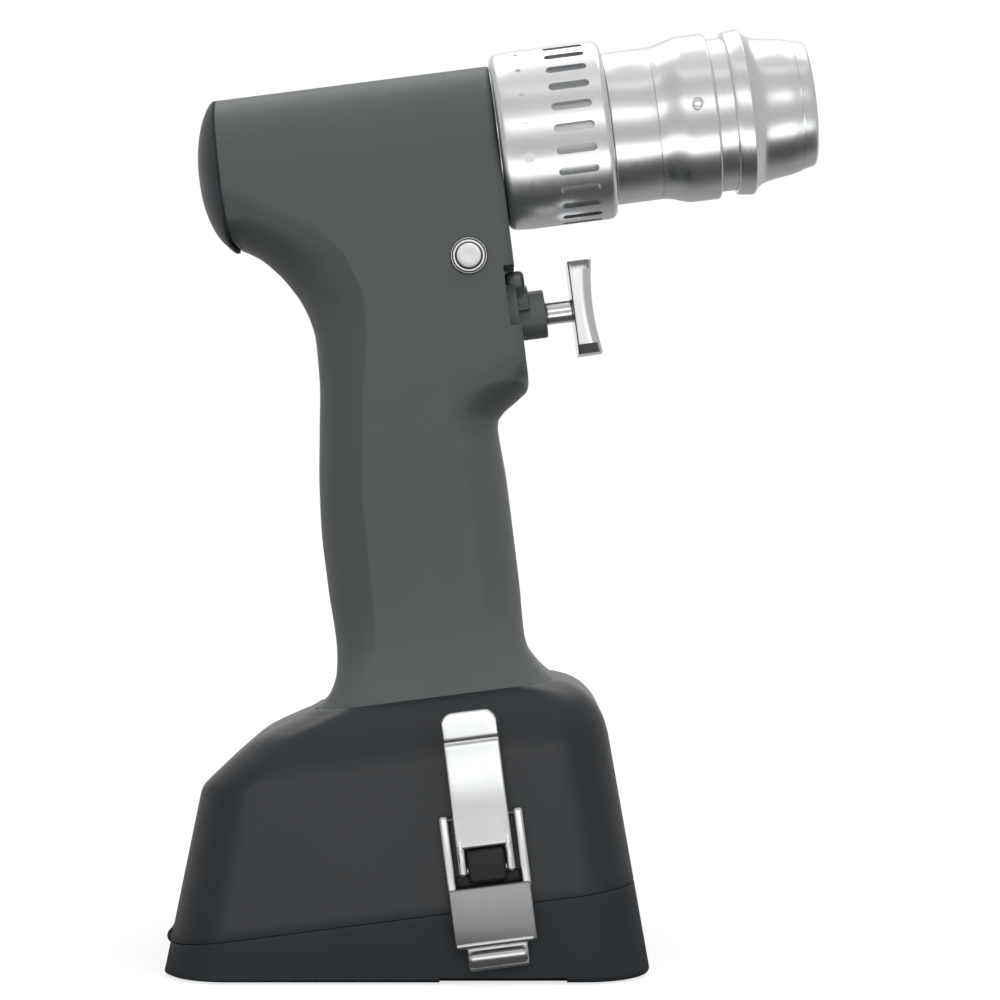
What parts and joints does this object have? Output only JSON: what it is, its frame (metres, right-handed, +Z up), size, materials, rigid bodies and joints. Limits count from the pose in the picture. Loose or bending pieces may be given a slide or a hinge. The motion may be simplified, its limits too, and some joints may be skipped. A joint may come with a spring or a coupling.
{
  "type": "surgical power drill",
  "caption": "Cordless pistol-grip bone drill standing on a latched battery base, with a slotted collar, quick-release nose sleeve and plunger trigger.",
  "frame": {"origin": "centre of the base's flat underside", "axes": "+X towards the nose, +Z up, +Y to the drill's left side"},
  "size_m": [0.1518, 0.0786, 0.219],
  "materials": {
    "housing": "satin grey-green coating",
    "dark_cap": "dark satin",
    "lid_dark": "dark satin",
    "rubber": "matt",
    "satin_aluminium": "satin",
    "polished_steel": "polished",
    "steel": "ground",
    "latch_steel": "bright",
    "lug_dark": "dark",
    "lamination": "laminated",
    "copper": "enamelled copper",
    "magnet": "plated",
    "bushing_dark": "satin",
    "lever_dark": "satin",
    "button_white": "gloss",
    "board": "solder mask",
    "black_plastic": "moulded",
    "cell": "shrink sleeve"
  },
  "bodies": {
    "handpiece": {"handpiece_housing": "housing", "rear_cap": "dark_cap", "rear_cap_seal": "rubber", "motor_stator": "lamination", "motor_windings": "copper", "motor_bulkhead": "lamination", "rotor_bearings": "steel", "ring_gear": "steel", "nose_mount": "steel", "output_bearings": "steel", "shaft_seal": "rubber", "chuck_sleeve_rear": "polished_steel", "chuck_sleeve_front": "polished_steel", "detent_pin": "steel", "nose_spring": "steel", "trigger_bushing": "bushing_dark", "trigger_spring": "steel", "switch_block": "black_plastic", "switch_board": "board", "control_board": "board", "button_bezels": "bushing_dark", "base_housing": "dark_cap", "grip_screws": "steel", "lid_gasket": "rubber", "hinge_pin": "steel", "battery_case": "black_plastic", "battery_cells": "cell", "contact_block": "black_plastic", "contact_blades": "copper", "latch_lugs": "lug_dark", "latch_pins": "steel"},
    "rotor": {"rotor_shaft": "steel", "rotor_core": "steel", "rotor_magnets": "magnet"},
    "spindle": {"spindle": "steel", "planet_carrier": "steel", "planet_pins": "steel", "lock_balls": "steel"},
    "planet_1": {"planet_gear_1": "steel"},
    "planet_2": {"planet_gear_2": "steel"},
    "planet_3": {"planet_gear_3": "steel"},
    "release_collar": {"release_collar": "satin_aluminium"},
    "nose_sleeve": {"nose_sleeve": "polished_steel"},
    "trigger": {"trigger": "polished_steel", "trigger_magnet": "magnet"},
    "mode_lever": {"mode_lever": "lever_dark"},
    "direction_button": {"direction_button": "button_white"},
    "lid": {"lid": "lid_dark", "lid_keepers": "latch_steel"},
    "latch_lever_near": {"latch_lever_near": "latch_steel"},
    "latch_bail_near": {"latch_bail_near": "latch_steel"},
    "latch_lever_far": {"latch_lever_far": "latch_steel"},
    "latch_bail_far": {"latch_bail_far": "latch_steel"}
  },
  "joints": [
    {"name": "spindle_spin", "type": "hinge", "parent": "handpiece", "child": "spindle", "pos_m": [0.0231, 0, 0.1924], "axis": [0.9919, 0, 0.1271], "continuous": true},
    {"name": "rotor_spin", "type": "hinge", "parent": "handpiece", "child": "rotor", "pos_m": [0.0231, 0, 0.1924], "axis": [0.9919, 0, 0.1271], "continuous": true},
    {"name": "planet_1_spin", "type": "hinge", "parent": "spindle", "child": "planet_1", "pos_m": [0.01024, 0, 0.19831], "axis": [0.9919, 0, 0.1271], "continuous": true},
    {"name": "planet_2_spin", "type": "hinge", "parent": "spindle", "child": "planet_2", "pos_m": [0.01167, -0.00649, 0.18716], "axis": [0.9919, 0, 0.1271], "continuous": true},
    {"name": "planet_3_spin", "type": "hinge", "parent": "spindle", "child": "planet_3", "pos_m": [0.01167, 0.00649, 0.18716], "axis": [0.9919, 0, 0.1271], "continuous": true},
    {"name": "collar_turn", "type": "hinge", "parent": "handpiece", "child": "release_collar", "pos_m": [0.0231, 0, 0.1924], "axis": [0.9919, 0, 0.1271], "range_deg": [0, 25]},
    {"name": "nose_sleeve_draw", "type": "slide", "parent": "handpiece", "child": "nose_sleeve", "axis": [-0.9919, 0, -0.1271], "range_m": [0, 0.0033], "stiffness_N_per_m": 2500, "springref_m": -0.002, "deforming": ["nose_spring"]},
    {"name": "trigger_press", "type": "slide", "parent": "handpiece", "child": "trigger", "axis": [-0.9919, 0, -0.1271], "range_m": [0, 0.0055], "stiffness_N_per_m": 500, "springref_m": -0.004, "deforming": ["trigger_spring"]},
    {"name": "mode_lever_turn", "type": "hinge", "parent": "handpiece", "child": "mode_lever", "pos_m": [0.02539, 0, 0.15095], "axis": [0.9919, 0, 0.1271], "range_deg": [-25, 25]},
    {"name": "direction_push", "type": "slide", "parent": "handpiece", "child": "direction_button", "axis": [0, 1, 0], "range_m": [-0.0015, 0.0015]},
    {"name": "lid_open", "type": "hinge", "parent": "handpiece", "child": "lid", "pos_m": [-0.0534, 0, 0.007], "axis": [0, 1, 0], "range_deg": [0, 40]},
    {"name": "latch_lever_near_turn", "type": "hinge", "parent": "handpiece", "child": "latch_lever_near", "pos_m": [0.01887, -0.03592, 0.0255], "axis": [0.9919, 0, 0.1271], "range_deg": [0, 100]},
    {"name": "latch_bail_near_turn", "type": "hinge", "parent": "latch_lever_near", "child": "latch_bail_near", "pos_m": [0.01739, -0.03488, 0.03707], "axis": [-0.9919, 0, -0.1271], "range_deg": [0, 140]},
    {"name": "latch_lever_far_turn", "type": "hinge", "parent": "handpiece", "child": "latch_lever_far", "pos_m": [0.01887, 0.03592, 0.0255], "axis": [-0.9919, 0, -0.1271], "range_deg": [0, 100]},
    {"name": "latch_bail_far_turn", "type": "hinge", "parent": "latch_lever_far", "child": "latch_bail_far", "pos_m": [0.01739, 0.03488, 0.03707], "axis": [0.9919, 0, 0.1271], "range_deg": [0, 140]}
  ],
  "couplings": [
    {"joint": "rotor_spin", "follows": "spindle_spin", "ratio": 5},
    {"joint": "planet_1_spin", "follows": "spindle_spin", "ratio": -2.6667},
    {"joint": "planet_2_spin", "follows": "spindle_spin", "ratio": -2.6667},
    {"joint": "planet_3_spin", "follows": "spindle_spin", "ratio": -2.6667},
    {"joint": "latch_lever_near_turn", "follows": "lid_open", "ratio": 2.5},
    {"joint": "latch_bail_near_turn", "follows": "lid_open", "ratio": 3.5},
    {"joint": "latch_lever_far_turn", "follows": "lid_open", "ratio": 2.5},
    {"joint": "latch_bail_far_turn", "follows": "lid_open", "ratio": 3.5}
  ]
}
